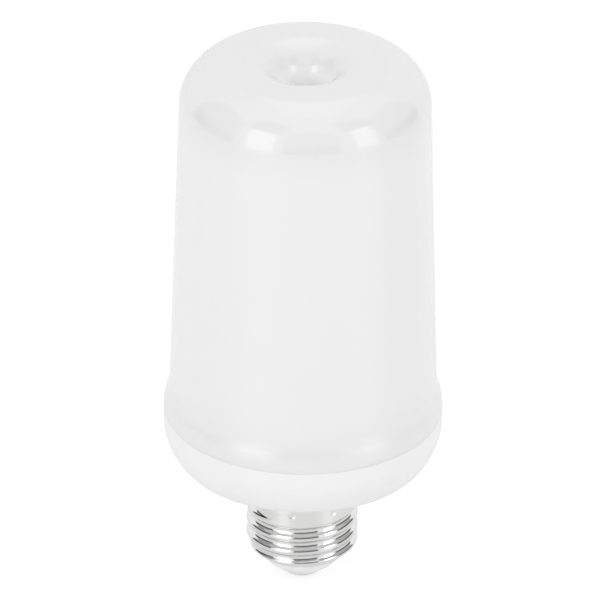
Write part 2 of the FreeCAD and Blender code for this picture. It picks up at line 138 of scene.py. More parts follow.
class BulbCapSizes(bpy.types.PropertyGroup):
    """Sizes of the rolled screw cap, its insulator and its contact"""

    top: length("Top", 0.027, "Height of the shell's upper edge")
    bottom: length("Bottom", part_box("screw_shell")[0].z, "Height of the shell's rolled-in foot")
    thread_radius: length("Thread radius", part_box("screw_shell")[1].x, "Radius over the thread's crests")
    thread_depth: length("Thread depth", 0.00095, "Depth of the rounded grooves")
    thread_pitch: length("Thread pitch", 0.003629, "Rise of the thread in one turn")
    crest_height: length("Crest height", 0.00925, "Height of a crest on the right-hand side")
    groove_top: length("Groove top", 0.02083, "Height at which the uppermost groove has run out")
    groove_run_out: length("Groove run-out", 0.0005, "Rise of the groove while it runs out")
    groove_foot: length("Groove foot", 0.0002, "Height over the foot at which the grooves begin")
    groove_run_in: length("Groove run-in", 0.0010, "Height over which the grooves reach their depth")
    sheet: length("Sheet", 0.00035, "Thickness of the rolled sheet")
    roll_in_height: length("Roll-in height", 0.0032, "Height of the rolled-in foot")
    roll_in_depth: length("Roll-in depth", 0.00255, "How far the foot is rolled in")
    roll_in_curve: FloatProperty(
        name="Roll-in curve", description="Fullness of the rolled foot", default=2.0,
    )
    stake_count: IntProperty(
        name="Punch marks", description="Punch marks in the skirt", default=8, min=0,
    )
    stake_turn: angle("Punch mark turn", -100.5, "Direction of the first punch mark")
    stake_height: length("Punch mark height", 0.0218, "Height of the punch marks")
    stake_radius: length("Punch mark radius", 0.0009, "Radius of each dent's rim")
    stake_depth: length("Punch mark depth", 0.00022, "Depth of each dent")
    insulator_top: length("Insulator top", 0.0066, "Height at which the cone meets the shell")
    nose_radius: length("Nose radius", 0.0039, "Radius of the cone's lower end")
    nose_round: length("Nose rounding", 0.0012, "Rounding of the cone's lower end")
    belly_radius: length("Belly radius", 0.0085, "Radius of the corner that makes the cone full")
    belly_height: length("Belly height", 0.0040, "Height of that corner")
    belly_round: length("Belly rounding", 0.008, "Rounding of that corner")
    contact_radius: length("Contact radius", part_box("centre_contact")[1].x, "Radius of the contact")
    contact_proud: length("Contact proud", 0.0003, "How far the contact stands out of the cone")
    contact_thickness: length("Contact thickness", 0.0009, "Thickness of the contact's disc")
    rivet_radius: length("Rivet radius", 0.0013, "Radius of the contact's rivet")
    rivet_top: length("Rivet top", 0.0082, "Height of the rivet's upper end")
    plug_height: length("Plug height", 0.0028, "Height of the cone's plug inside the shell")
    slip: length("Slip", 0.0001, "Clearance round the plug and round the contact")
    edge_round: length("Edge rounding", 0.0003, "Rounding of the plug and of the contact")


class BulbColours(bpy.types.PropertyGroup):
    """Colours of the finishes that show, and of the painted light on the cover"""

    # The first three colours are one frosted white in painted light: the cover's darker level where
    # nothing glows behind it, painted light that lifts the shade down in the dimple, and the painted glow
    # of the drum shining through the cover.
    cover: colour("Cover", grey(0.765), "Frosted moulding with nothing close behind it")
    cover_painted_dimple_light: colour("Cover in the dimple", grey(0.97), "Frosted moulding lit through its own walls")
    cover_painted_drum_glow: colour("Cover over the drum", grey(0.805), "Frosted moulding in front of the drum")
    housing: colour("Housing", grey(0.84), "Opaque white moulding")
    cap: colour("Cap", (0.79, 0.79, 0.785, 1.0), "Bright plate on the rolled sheet")
    insulator: colour("Insulator", grey(0.94), "Light grey moulding of the cone")
    contact: colour("Contact", (0.70, 0.69, 0.67, 1.0), "Tinned contact")


class BulbStageSettings(bpy.types.PropertyGroup):
    """Camera and light"""

    azimuth: angle("Azimuth", 0.0, "Turn of the camera round the bulb")
    elevation: angle("Elevation", 28.85, "Height of the camera over the horizon")
    distance: length("Distance", 1.5, "Distance of the camera from the point it looks at")
    aim_height: length("Aim height", 0.0768, "Height on the axis at which the camera looks")
    roll: angle("Roll", 0.45, "Lean of the bulb's axis to the right")
    pixels_per_metre: FloatProperty(
        name="Scale", description="Image pixels to a metre at the aimed point", default=4310.0,
    )
    aim_x: FloatProperty(name="Aim X", description="Pixel column of the aimed point", default=303.95)
    aim_y: FloatProperty(name="Aim Y", description="Pixel row of the aimed point", default=285.06)
    frame_pixels: IntProperty(
        name="Frame", description="Width and height of the image in pixels", default=600,
    )
    room_light: FloatProperty(
        name="Room light", description="Strength of the even light", default=0.885,
    )
    box_light: FloatProperty(
        name="Softbox light", description="Brightness of the softboxes", default=1.65,
    )


# Mesh helpers

def add_wire(mesh, points):
    """Vertices joined in a line through (radius, height) points in the XZ plane."""
    line = [mesh.verts.new((radius, 0, height)) for radius, height in points]
    for start, end in zip(line, line[1:]):
        mesh.edges.new((start, end))
    return line


def round_corner(mesh, corner, radius):
    """Turns a corner of a wire into an arc that touches both of its edges."""
    ends = [edge.other_vert(corner).co - corner.co for edge in corner.link_edges]
    opening = ends[0].angle(ends[1])
    bmesh.ops.bevel(
        mesh, geom=[corner], offset=radius / math.tan(opening / 2), offset_type="OFFSET",
        segments=max(3, round((math.pi - opening) / ROUND_STEP)), profile=0.5, affect="VERTICES",
        material=-1, clamp_overlap=False,
    )


def turn_profile(corners, columns):
    """A closed body of revolution from (radius, height, rounding) corners."""
    mesh = bmesh.new()
    line = add_wire(mesh, [corner[:2] for corner in corners])
    if corners[0][0] > 0:
        mesh.edges.new((line[-1], line[0]))
    for vertex, corner in zip(line, corners):
        if corner[2] > 0:
            round_corner(mesh, vertex, corner[2])
    spin_round(mesh, columns)
    return mesh


def spin_round(mesh, columns):
    """Turns the wires of a mesh once round the axis and welds the seam and the poles."""
    bmesh.ops.spin(
        mesh, geom=mesh.verts[:] + mesh.edges[:], cent=CENTRE, axis=AXIS, dvec=CENTRE,
        angle=FULL_TURN, steps=columns, use_merge=True, use_duplicate=False,
    )
    bmesh.ops.remove_doubles(mesh, verts=mesh.verts[:], dist=WELD)
    bmesh.ops.recalc_face_normals(mesh, faces=mesh.faces[:])


def finish_piece(name, mesh, finish, nodes):
    """Makes a smooth-shaded object of the mesh, which rides on the bulb and stands for its CAD nodes."""
    data = bpy.data.meshes.new(name)
    mesh.to_mesh(data)
    mesh.free()
    data.shade_smooth()
    data.set_sharp_from_angle(angle=SHARP_ANGLE)
    data.materials.append(finish)
    piece = bpy.data.objects.new(name, data)
    bpy.context.scene.collection.objects.link(piece)
    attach(piece, "root")
    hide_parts(*nodes)
    return piece


# Shader helpers

SURFACE_OUTPUTS = {
    "Colour": "NodeSocketColor",
    "Roughness": "NodeSocketFloat",
    "Normal": "NodeSocketVector",
}


def math_node(tree, operation, first, second):
    node = tree.nodes.new("ShaderNodeMath")
    node.operation = operation
    for index, value in enumerate((first, second)):
        if isinstance(value, (int, float)):
            node.inputs[index].default_value = value
        else:
            tree.links.new(value, node.inputs[index])
    return node.outputs[0]


def noise(tree, vector, scale, detail):
    node = tree.nodes.new("ShaderNodeTexNoise")
    node.inputs["Detail"].default_value = detail
    tree.links.new(vector, node.inputs["Vector"])
    if isinstance(scale, (int, float)):
        node.inputs["Scale"].default_value = scale
    else:
        tree.links.new(scale, node.inputs["Scale"])
    return node.outputs["Fac"]


def centred(tree, value):
    """Noise that changes round 0 instead of round a half."""
    return math_node(tree, "SUBTRACT", value, 0.5)


def shade_of(tree, base, factor):
    """The base colour times a factor that changes over the surface."""
    node = tree.nodes.new("ShaderNodeVectorMath")
    node.operation = "SCALE"
    tree.links.new(base, node.inputs[0])
    tree.links.new(factor, node.inputs["Scale"])
    return node.outputs[0]


def mixed_colour(tree, first, second, factor):
    """Goes from the first colour, a value or a socket, to the second, a value, with the factor."""
    node = tree.nodes.new("ShaderNodeMix")
    node.data_type = "RGBA"
    if isinstance(first, bpy.types.NodeSocket):
        tree.links.new(first, node.inputs["A"])
    else:
        node.inputs["A"].default_value = first
    node.inputs["B"].default_value = second
    tree.links.new(factor, node.inputs["Factor"])
    return node.outputs["Result"]


def soft_edge(tree, value, start, end):
    """Rises smoothly from 0, where the value is start, to 1, where it is end."""
    node = tree.nodes.new("ShaderNodeMapRange")
    node.interpolation_type = "SMOOTHSTEP"
    node.inputs["From Min"].default_value = min(start, end)
    node.inputs["From Max"].default_value = max(start, end)
    if start > end:
        node.inputs["To Min"].default_value = 1.0
        node.inputs["To Max"].default_value = 0.0
    tree.links.new(value, node.inputs["Value"])
    return node.outputs["Result"]


def object_place(tree):
    return tree.nodes.new("ShaderNodeTexCoord").outputs["Object"]


def split_place(tree):
    """Outputs with the X, Y and Z of a point of the surface."""
    split = tree.nodes.new("ShaderNodeSeparateXYZ")
    tree.links.new(object_place(tree), split.inputs[0])
    return split.outputs


def new_surface_group(name, inputs):
    """An empty group with its inputs and with a colour, a roughness and a normal to put out."""
    tree = bpy.data.node_groups.new(name, "ShaderNodeTree")
    for label, value in inputs.items():
        kind = "NodeSocketFloat" if isinstance(value, float) else "NodeSocketColor"
        made = tree.interface.new_socket(name=label, in_out="INPUT", socket_type=kind)
        made.default_value = value
    for label, kind in SURFACE_OUTPUTS.items():
        tree.interface.new_socket(name=label, in_out="OUTPUT", socket_type=kind)
    given = tree.nodes.new("NodeGroupInput").outputs
    result = tree.nodes.new("NodeGroupOutput").inputs
    return tree, given, result


def put_out_surface(tree, given, result, cloud, contrast, uneven, relief, strength, depth):
    """Colour shaded by a cloud, roughness changed by uneven gloss, and normal bent by a relief."""
    factor = math_node(tree, "MULTIPLY", cloud, contrast)
    shade = shade_of(tree, given["Colour"], math_node(tree, "ADD", factor, 1.0))
    tree.links.new(shade, result["Colour"])
    gloss = math_node(tree, "MULTIPLY", uneven, given["Gloss Change"])
    tree.links.new(math_node(tree, "ADD", gloss, given["Gloss"]), result["Roughness"])
    bump = tree.nodes.new("ShaderNodeBump")
    bump.inputs["Distance"].default_value = depth
    tree.links.new(strength, bump.inputs["Strength"])
    tree.links.new(relief, bump.inputs["Height"])
    tree.links.new(bump.outputs["Normal"], result["Normal"])


CLOUD_DETAIL = 3.0
SKIN_DETAIL = 2.0
SKIN_TO_CLOUD_SCALE = 14.0
SKIN_DEPTH = 0.00002


def moulded_surface_group():
    """Faint mottling, uneven gloss and a fine skin, as on a moulded surface."""
    name = "Moulded Surface"
    if name in bpy.data.node_groups:
        return bpy.data.node_groups[name]
    tree, given, result = new_surface_group(name, {
        "Colour": grey(0.8), "Mottling": 0.01, "Gloss": 0.3, "Gloss Change": 0.04,
        "Scale": 120.0, "Skin": 0.05,
    })
    place = object_place(tree)
    cloud = centred(tree, noise(tree, place, given["Scale"], CLOUD_DETAIL))
    skin_scale = math_node(tree, "MULTIPLY", given["Scale"], SKIN_TO_CLOUD_SCALE)
    skin = noise(tree, place, skin_scale, SKIN_DETAIL)
    put_out_surface(
        tree, given, result, cloud, given["Mottling"], cloud, skin, given["Skin"], SKIN_DEPTH,
    )
    return tree


METAL_CLOUD_SCALE = 260.0
LINE_SCALE = (60.0, 60.0, 3200.0)
LINE_DETAIL = 4.0
LINE_DEPTH = 0.00001


def drawn_metal_group():
    """Lines drawn round the axis by rolling or turning, with a little uneven gloss."""
    name = "Drawn Metal"
    if name in bpy.data.node_groups:
        return bpy.data.node_groups[name]
    tree, given, result = new_surface_group(name, {
        "Colour": grey(0.8), "Shading": 0.05, "Gloss": 0.15, "Gloss Change": 0.08, "Lines": 0.1,
    })
    place = object_place(tree)
    stretch = tree.nodes.new("ShaderNodeMapping")
    stretch.inputs["Scale"].default_value = LINE_SCALE
    tree.links.new(place, stretch.inputs["Vector"])
    lines = centred(tree, noise(tree, stretch.outputs["Vector"], 1.0, LINE_DETAIL))
    cloud = centred(tree, noise(tree, place, METAL_CLOUD_SCALE, CLOUD_DETAIL))
    uneven = math_node(tree, "ADD", lines, cloud)
    put_out_surface(
        tree, given, result, cloud, given["Shading"], uneven, lines, given["Lines"], LINE_DEPTH,
    )
    return tree


def new_finish(name):
    """A material with its Principled shader, ready for its sockets."""
    finish = bpy.data.materials.new(name)
    finish.use_nodes = True
    return finish, finish.node_tree, finish.node_tree.nodes["Principled BSDF"]


def link_surface(tree, shader, group, values, base=None):
    """Places a surface group with its values and joins its outputs to the shader."""
    node = tree.nodes.new("ShaderNodeGroup")
    node.node_tree = group
    for name, value in values.items():
        node.inputs[name].default_value = value
    if base is not None:
        tree.links.new(base, node.inputs["Colour"])
    tree.links.new(node.outputs["Colour"], shader.inputs["Base Color"])
    tree.links.new(node.outputs["Roughness"], shader.inputs["Roughness"])
    tree.links.new(node.outputs["Normal"], shader.inputs["Normal"])
    return node


def moulded_finish(name, base, gloss, mottling, skin, scale=120.0):
    finish, tree, shader = new_finish(name)
    link_surface(tree, shader, moulded_surface_group(), {
        "Colour": base, "Mottling": mottling, "Gloss": gloss, "Skin": skin, "Scale": scale,
    })
    return finish


def metal_finish(name, base, gloss, lines=0.1, shading=0.05):
    finish, tree, shader = new_finish(name)
    shader.inputs["Metallic"].default_value = 1.0
    link_surface(tree, shader, drawn_metal_group(), {
        "Colour": base, "Gloss": gloss, "Lines": lines, "Shading": shading,
    })
    return finish


FROSTED_MOULDING = {
    "IOR": 1.58,
    "Subsurface Weight": 0.15,
    "Subsurface Radius": (1.0, 1.0, 1.0),
    "Subsurface Scale": 0.002,
}
FROSTED_GLOSS = 0.08
FLARE_DULLNESS = 0.14

# Where the cover's painted light and gloss change, in metres: the painted drum glow over and in
# from the drum's ends, the painted dimple light's radius and depth, and half the height of the gloss
# change at the flare's top
PAINTED_GLOW_FADE_OVER = (0.014, 0.001)
PAINTED_GLOW_FADE_IN = 0.018
PAINTED_DIMPLE_LIGHT_RADIUS = (0.014, 0.010)
PAINTED_DIMPLE_LIGHT_DEPTH = (0.002, 0.007)
FLARE_FADE = 0.001


def painted_drum_glow_mask(tree, height):
    """Mask of the painted drum glow: 1 where the drum stands close behind the cover, and 0 above and below
    it.
    """
    drum_low, drum_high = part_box("led_board")
    start, end = PAINTED_GLOW_FADE_OVER
    upper = soft_edge(tree, height, drum_high.z + start, drum_high.z + end)
    lower = soft_edge(tree, height, drum_low.z, drum_low.z + PAINTED_GLOW_FADE_IN)
    return math_node(tree, "MULTIPLY", upper, lower)


def painted_dimple_light_mask(tree, place, top):
    """Mask of painted light that lifts the shade in the dimple: 1 down in the dimple and 0 on its lip and
    outside it.
    """
    across = tree.nodes.new("ShaderNodeCombineXYZ")
    tree.links.new(place["X"], across.inputs["X"])
    tree.links.new(place["Y"], across.inputs["Y"])
    radius = tree.nodes.new("ShaderNodeVectorMath")
    radius.operation = "LENGTH"
    tree.links.new(across.outputs[0], radius.inputs[0])
    inside = soft_edge(tree, radius.outputs["Value"], *PAINTED_DIMPLE_LIGHT_RADIUS)
    start, end = PAINTED_DIMPLE_LIGHT_DEPTH
    deep = soft_edge(tree, place["Z"], top - start, top - end)
    return math_node(tree, "MULTIPLY", inside, deep)


def frosted_cover_finish():
    """Milk-white moulding in painted light: a painted glow where the drum stands behind it, and painted
    light that lifts the shade in the dimple.
    """
    colours = bpy.context.scene.bulb_colours
    cover = bpy.context.scene.bulb_cover
    finish, tree, shader = new_finish("Frosted Cover")
    for name, value in FROSTED_MOULDING.items():
        shader.inputs[name].default_value = value
    place = split_place(tree)
    # Painted light: the glow of the drum behind the cover, then light that lifts the shade in the dimple.
    base = mixed_colour(tree, colours.cover, colours.cover_painted_drum_glow, painted_drum_glow_mask(tree, place["Z"]))
    base = mixed_colour(tree, base, colours.cover_painted_dimple_light, painted_dimple_light_mask(tree, place, cover.top))
    surface = link_surface(tree, shader, moulded_surface_group(), {
        "Mottling": 0.006, "Gloss Change": 0.02, "Skin": 0.02, "Scale": 60.0,
    }, base)
    flare_top = cover.foot + cover.flare_height
    dull = soft_edge(tree, place["Z"], flare_top + FLARE_FADE, flare_top - FLARE_FADE)
    gloss = math_node(tree, "MULTIPLY", dull, FLARE_DULLNESS)
    tree.links.new(math_node(tree, "ADD", gloss, FROSTED_GLOSS), surface.inputs["Gloss"])
    return finish


# Pieces

class BULB_OT_cover(bpy.types.Operator):
    """Model the frosted cover with its dimpled crown and flared foot"""

    bl_idname = "bulb.cover"
    bl_label = "Frosted Cover"

    COLUMNS = 192

    def execute(self, context):
        size = context.scene.bulb_cover
        recess_floor = size.top - size.recess_depth
        crown_slope = size.crown_drop / (size.shoulder_radius - size.recess_radius)
        crown_high = size.top + crown_slope * size.recess_entry
        crown_low = crown_high - size.crown_drop
        flare_top = size.foot + size.flare_height
        spigot_inner = size.spigot_radius - size.spigot_wall
        post_radius = size.recess_radius + size.wall
        mesh = turn_profile([
            (0, recess_floor, 0),
            (size.recess_radius, recess_floor, size.recess_floor_round),
            (size.recess_radius, crown_high, size.recess_entry),
            (size.shoulder_radius, crown_low, size.shoulder_round),
            (size.wall_foot_radius, flare_top, size.flare_foot_round),
            (size.lip_radius, flare_top - size.flare_run, size.flare_round),
            (size.lip_radius, size.foot, size.edge_round),
            (size.spigot_radius, size.foot, 0),
            (size.spigot_radius, size.spigot_foot, size.edge_round),
            (spigot_inner, size.spigot_foot, size.edge_round),
            (spigot_inner, size.foot + size.wall, 0),
            (size.lip_radius - size.wall, size.foot + 2 * size.wall, 0),
            (size.wall_foot_radius - size.wall, flare_top, 0),
            (size.shoulder_radius - size.wall, crown_low - size.wall, size.shoulder_round - size.wall),
            (post_radius, crown_high - size.wall, size.recess_entry - size.wall),
            (post_radius, recess_floor - size.wall, size.recess_floor_round),
            (0, recess_floor - size.wall, 0),
        ], self.COLUMNS)
        finish_piece("frosted_cover", mesh, frosted_cover_finish(), ["diffuser_cover"])
        return {"FINISHED"}


class BULB_OT_housing(bpy.types.Operator):
    """Model the white bowl with the neck that the cap is punched onto"""

    bl_idname = "bulb.housing"
    bl_label = "Base Housing"

    COLUMNS = 160

    def execute(self, context):
        size = context.scene.bulb_housing
        cap = context.scene.bulb_cap
        lip = context.scene.bulb_cover.lip_radius
        floor = cap.top + size.neck_height
        inner = lip - size.wall
        inner_floor = floor + size.wall
        side_turn = math.atan2(size.foot_lean, size.knee_height)
        foot_turn = math.pi / 2 - side_turn
        inner_knee = floor + size.knee_height + size.wall * math.tan(side_turn / 2)
        inner_reach = context.scene.bulb_cover.spigot_foot - inner_knee
        inner_foot = lip - size.foot_lean - size.wall * math.tan(foot_turn / 2)
        spigot = cap.thread_radius - cap.sheet - size.slip
        spigot_foot = cap.top - size.spigot_length
        bore = spigot - size.spigot_wall
        mesh = turn_profile([
            (size.neck_radius, cap.top, size.edge_round),
            (size.neck_radius, floor, size.neck_fillet),
            (lip - size.foot_lean, floor, size.foot_round),
            (lip, floor + size.knee_height, size.knee_round),
            (lip, size.rim, size.edge_round),
            (inner, size.rim, 0),
            (inner, inner_knee, inner_reach / math.tan(side_turn / 2)),
            (inner_foot, inner_floor, size.foot_round),
            (bore, inner_floor, size.neck_fillet),
            (bore, spigot_foot, 0),
            (spigot, spigot_foot, size.edge_round),
            (spigot, cap.top, 0),
        ], self.COLUMNS)
        base = context.scene.bulb_colours.housing
        finish = moulded_finish("Housing White", base, gloss=0.26, mottling=0.006, skin=0.03)
        finish_piece("white_housing", mesh, finish, ["base_housing"])
        return {"FINISHED"}


class BULB_OT_screw_shell(bpy.types.Operator):
    """Model the rolled screw shell with its knuckle thread, plain skirt and punch marks"""

    bl_idname = "bulb.screw_shell"
    bl_label = "Screw Shell"

    COLUMNS = 240
    ROW_HEIGHT = 0.00013

    def execute(self, context):
        size = context.scene.bulb_cap
        mesh = bmesh.new()
        rows = round((size.top - size.bottom) / self.ROW_HEIGHT)
        step = (size.top - size.bottom) / rows
        add_wire(mesh, [(size.thread_radius, size.bottom + row * step) for row in range(rows + 1)])
        spin_round(mesh, self.COLUMNS)
        radius = knuckle_radius(size)
        for vertex in mesh.verts:
            press_in(vertex, sheet_drop(size, radius, vertex.co))
        bmesh.ops.recalc_face_normals(mesh, faces=mesh.faces[:])
        bmesh.ops.solidify(mesh, geom=mesh.faces[:], thickness=size.sheet)
        base = context.scene.bulb_colours.cap
        finish = metal_finish("Cap Plate", base, gloss=0.06, lines=0.2, shading=0.03)
        finish_piece("rolled_screw_shell", mesh, finish, ["screw_shell"])
        return {"FINISHED"}


def press_in(vertex, depth):
    """Moves a vertex of the shell towards the axis."""
    away = Vector((vertex.co.x, vertex.co.y, 0)).normalized()
    vertex.co -= away * depth


def sheet_drop(size, radius, point):
    """How far the rolled sheet stands inside the thread's crests at a point."""
    turn = math.atan2(point.y, point.x) / FULL_TURN
    roll = max(0.0, (size.bottom + size.roll_in_height - point.z) / size.roll_in_height)
    phase = (point.z - size.crest_height) / size.thread_pitch - turn
    groove_height = point.z + (math.floor(phase) + 0.5 - phase) * size.thread_pitch
    fade = smooth_step((size.groove_top - groove_height) / size.groove_run_out)
    fade *= smooth_step((point.z - size.bottom - size.groove_foot) / size.groove_run_in)
    groove = knuckle_drop(size, radius, phase) * fade
    return size.roll_in_depth * roll ** size.roll_in_curve + groove + stake_dent(size, point)


def smooth_step(value):
    value = min(max(value, 0.0), 1.0)
    return value * value * (3 - 2 * value)


def knuckle_radius(size):
    """Radius for which a crest's arc and a groove's arc meet half way down the thread's side."""
    half_pitch = size.thread_pitch / 2
    return (half_pitch ** 2 + size.thread_depth ** 2) / (4 * size.thread_depth)


def knuckle_drop(size, radius, phase):
    """Depth below the crest at a share of a pitch from it, as two arcs that meet."""
    away = abs(phase - round(phase)) * size.thread_pitch
    rest = size.thread_pitch / 2 - away
    if away < rest:
        return radius - math.sqrt(radius ** 2 - away ** 2)
    return size.thread_depth - radius + math.sqrt(radius ** 2 - rest ** 2)


def stake_dent(size, point):
    """Depth of the nearest round punch mark at a point of the skirt."""
    if size.stake_count == 0 or abs(point.z - size.stake_height) > size.stake_radius:
        return 0.0
    pitch = FULL_TURN / size.stake_count
    turn = (math.atan2(point.y, point.x) - size.stake_turn + pitch / 2) % pitch - pitch / 2
    away = math.hypot(turn * size.thread_radius, point.z - size.stake_height)
    return size.stake_depth * smooth_step(1 - away / size.stake_radius)


class BULB_OT_cap_end(bpy.types.Operator):
    """Model the cap's insulating cone and its centre contact"""

    bl_idname = "bulb.cap_end"
    bl_label = "Insulator and Contact"

    CONE_COLUMNS = 128
    CONTACT_COLUMNS = 96

    def execute(self, context):
        size = context.scene.bulb_cap
        colours = context.scene.bulb_colours
        foot_radius = size.thread_radius - size.roll_in_depth
        plug = foot_radius - size.sheet - size.slip
        plug_top = size.insulator_top + size.plug_height
        pocket = size.contact_radius + size.slip
        bore = size.rivet_radius + size.slip
        cone = turn_profile([
            (bore, size.contact_thickness, 0),
            (pocket, size.contact_thickness, 0),
            (pocket, size.contact_proud, 0),
            (size.nose_radius, size.contact_proud, size.nose_round),
            (size.belly_radius, size.belly_height, size.belly_round),
            (foot_radius, size.insulator_top, 0),
            (plug, size.insulator_top, 0),
            (plug, plug_top, size.edge_round),
            (bore, plug_top, 0),
        ], self.CONE_COLUMNS)
        cone_finish = moulded_finish(
            "Insulator Grey", colours.insulator, gloss=0.3, mottling=0.02, skin=0.06,
        )
        finish_piece("insulator_cone", cone, cone_finish, ["cap_insulator"])
        disc = turn_profile([
            (0, 0, 0),
            (size.contact_radius, 0, size.edge_round),
            (size.contact_radius, size.contact_thickness, 0),
            (size.rivet_radius, size.contact_thickness, 0),
            (size.rivet_radius, size.rivet_top, 0),
            (0, size.rivet_top, 0),
        ], self.CONTACT_COLUMNS)
        disc_finish = metal_finish(
            "Contact Metal", colours.contact, gloss=0.28, lines=0.2, shading=0.1,
        )
        finish_piece("contact_disc", disc, disc_finish, ["centre_contact"])
        return {"FINISHED"}


# Base colour and gloss for each material slot of the pieces behind the cover
INNER_METALS = {
    "copper": ((0.60, 0.26, 0.12, 1.0), 0.30),
    "screw_steel": ((0.56, 0.56, 0.56, 1.0), 0.30),
    "sensor_can": ((0.66, 0.48, 0.20, 1.0), 0.24),
    "lead_bare": ((0.66, 0.63, 0.58, 1.0), 0.32),
}
INNER_MOULDINGS = {
    "inner_white": (grey(0.80), 0.45),
    "flex_white": ((0.84, 0.84, 0.80, 1.0), 0.35),
    "diode_amber": ((0.80, 0.50, 0.10, 1.0), 0.25),
    "board_green": ((0.02, 0.11, 0.04, 1.0), 0.32),
    "chip_black": (grey(0.02), 0.5),
    "sleeve_dark": ((0.01, 0.015, 0.03, 1.0), 0.2),
    "ferrite": (grey(0.03), 0.6),
    "fuse_body": ((0.06, 0.14, 0.27, 1.0), 0.4),
    "resistor_body": (grey(0.02), 0.3),
    "lead_red": ((0.45, 0.01, 0.01, 1.0), 0.4),
    "lead_black": (grey(0.015), 0.4),
}


def finish_name(slot):
    return slot.replace("_", " ").title()


class BULB_OT_inner_parts(bpy.types.Operator):
    """Give the drum, boards, parts and leads inside the cover their finishes"""

    bl_idname = "bulb.inner_parts"
    bl_label = "Inner Parts"

    def execute(self, context):
        finishes = {}
        for slot, (base, gloss) in INNER_METALS.items():
            finishes[slot] = metal_finish(finish_name(slot), base, gloss)
        for slot, (base, gloss) in INNER_MOULDINGS.items():
            finishes[slot] = moulded_finish(
                finish_name(slot), base, gloss, mottling=0.08, skin=0.1, scale=300.0,
            )
        slots = {entry["node"]: entry["material_slot"] for entry in frame["record"]["subparts"]}
        for name, node in frame["nodes"].items():
            if slots[name] in finishes:
                node.data.materials.clear()
                node.data.materials.append(finishes[slots[name]])
        return {"FINISHED"}


# Stage

FLOOR_WIDTH = 12.0
FLOOR_BASE = grey(0.92)
FLOOR_ROUGHNESS = 0.3

# What the camera sees of the floor: a white of its own, and grey that is lit or in shadow
FLOOR_WHITE = 0.7
FLOOR_LIT = grey(0.36)

# Azimuth from the viewer's side in degrees, width, and share of the softboxes' brightness
LEFT_BOX = (-40.5, 0.56, 1.0)
RIGHT_BOX = (55.5, 0.42, 0.85)
FILL_BOX = (100, 0.5, 0.25)
BOX_DISTANCE = 1.2
BOX_MIDDLE = 0.72
BOX_HEIGHT = 1.4

OVERHEAD_PLACE = Vector((0.06, 0.56, 1.33))
OVERHEAD_WIDTH = 0.56
OVERHEAD_DEPTH = 1.3
OVERHEAD_SHARE = 0.28

# Azimuth from the viewer's side and spread in degrees, lower and upper end, and upper grey
CARDS = (
    (6, 50, 0, 1.1, 0.45),
    (-90, 50, 0, 1.1, 0.4),
    (95, 46, 0, 1.1, 0.5),
    (-40.5, 40, 0.82, 1.9, 0.25),
    (55.5, 36, 0.82, 1.9, 0.25),
)
CARD_DISTANCE = 0.9
CARD_FOOT = grey(0.04)
CARD_FADE = (0.23, 0.34)
CARD_ROUGHNESS = 0.9

SENSOR_WIDTH = 36.0
NEAREST = 0.05
FARTHEST = 50.0


def stage_plane(name, width, depth, place, finish):
    """A flat stage piece facing along its own Z, put at a place given as a matrix."""
    mesh = bmesh.new()
    bmesh.ops.create_grid(mesh, x_segments=1, y_segments=1, size=0.5)
    bmesh.ops.scale(mesh, vec=(width, depth, 1), verts=mesh.verts[:])
    bmesh.ops.transform(mesh, matrix=place, verts=mesh.verts[:])
    data = bpy.data.meshes.new(name)
    mesh.to_mesh(data)
    mesh.free()
    data.materials.append(finish)
    piece = bpy.data.objects.new(name, data)
    bpy.context.scene.collection.objects.link(piece)
    return piece


def floor_finish():
    """Pale floor that the camera sees as white, apart from the bulb's shadow."""
    finish, tree, shader = new_finish("Pale Floor")
    shader.inputs["Base Color"].default_value = FLOOR_BASE
    shader.inputs["Roughness"].default_value = FLOOR_ROUGHNESS
    shown = tree.nodes.new("ShaderNodeBsdfDiffuse")
    shown.inputs["Color"].default_value = FLOOR_LIT
    white = tree.nodes.new("ShaderNodeEmission")
    white.inputs["Strength"].default_value = FLOOR_WHITE
    lit = tree.nodes.new("ShaderNodeAddShader")
    tree.links.new(shown.outputs[0], lit.inputs[0])
    tree.links.new(white.outputs[0], lit.inputs[1])
    path = tree.nodes.new("ShaderNodeLightPath")
    choice = tree.nodes.new("ShaderNodeMixShader")
    tree.links.new(path.outputs["Is Camera Ray"], choice.inputs["Fac"])
    tree.links.new(shader.outputs[0], choice.inputs[1])
    tree.links.new(lit.outputs[0], choice.inputs[2])
    tree.links.new(choice.outputs[0], tree.nodes["Material Output"].inputs["Surface"])
    return finish


def card_finish(upper):
    """Card that is dark near the floor and grey above, which only shows in the gloss of the bulb."""
    finish, tree, shader = new_finish("Studio Card")
    rise = soft_edge(tree, split_place(tree)["Z"], *CARD_FADE)
    shade = mixed_colour(tree, CARD_FOOT, grey(upper), rise)
    tree.links.new(shade, shader.inputs["Base Color"])
    shader.inputs["Roughness"].default_value = CARD_ROUGHNESS
    shader.inputs["Specular IOR Level"].default_value = 0.0
    return finish


def direction(azimuth, elevation):
    """Unit vector from the bulb in degrees, with azimuth 0 towards the viewer and 90 along +X."""
    turn = math.radians(azimuth)
    rise = math.radians(elevation)
    return Vector((math.sin(turn) * math.cos(rise), -math.cos(turn) * math.cos(rise), math.sin(rise)))


def facing(place, target, roll=0.0):
    """Matrix that stands at a place and looks at the target along -Z."""
    turn = (target - place).to_track_quat("-Z", "Y").to_matrix().to_4x4()
    return Matrix.Translation(place) @ turn @ Matrix.Rotation(roll, 4, "Z")


def softbox(name, width, height, place, target, radiance):
    """Area light of an even brightness, whatever its size."""
    light = bpy.data.lights.new(name, "AREA")
    light.shape = "RECTANGLE"
    light.size = width
    light.size_y = height
    light.energy = radiance * width * height * math.pi
    holder = bpy.data.objects.new(name, light)
    holder.matrix_world = facing(place, target)
    bpy.context.scene.collection.objects.link(holder)
    return holder


